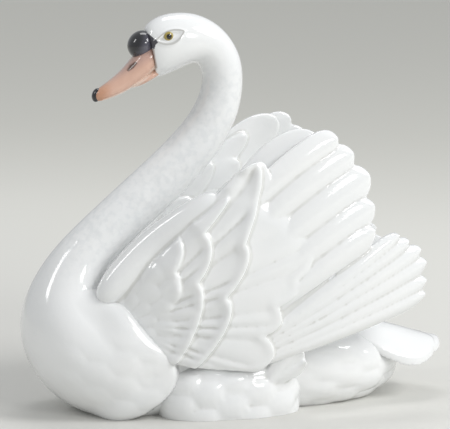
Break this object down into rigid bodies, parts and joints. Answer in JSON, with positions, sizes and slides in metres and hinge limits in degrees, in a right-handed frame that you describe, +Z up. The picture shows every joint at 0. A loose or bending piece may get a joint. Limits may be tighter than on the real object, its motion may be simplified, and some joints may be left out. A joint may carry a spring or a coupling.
{
  "type": "swan figurine",
  "caption": "Resting swan with arched neck and half-raised wings, cast as one glazed porcelain piece on a flat foot.",
  "frame": {"origin": "on the flat foot, under the middle of the body", "axes": "+Z up from the foot, -X the way the swan faces, +X towards its tail, -Y its left side"},
  "size_m": [0.2175, 0.103, 0.1967],
  "materials": {
    "glazed_porcelain": "glossy white glaze with a painted bill, knob and eyes"
  },
  "bodies": {
    "root": {"swan": "glazed_porcelain"}
  },
  "joints": []
}
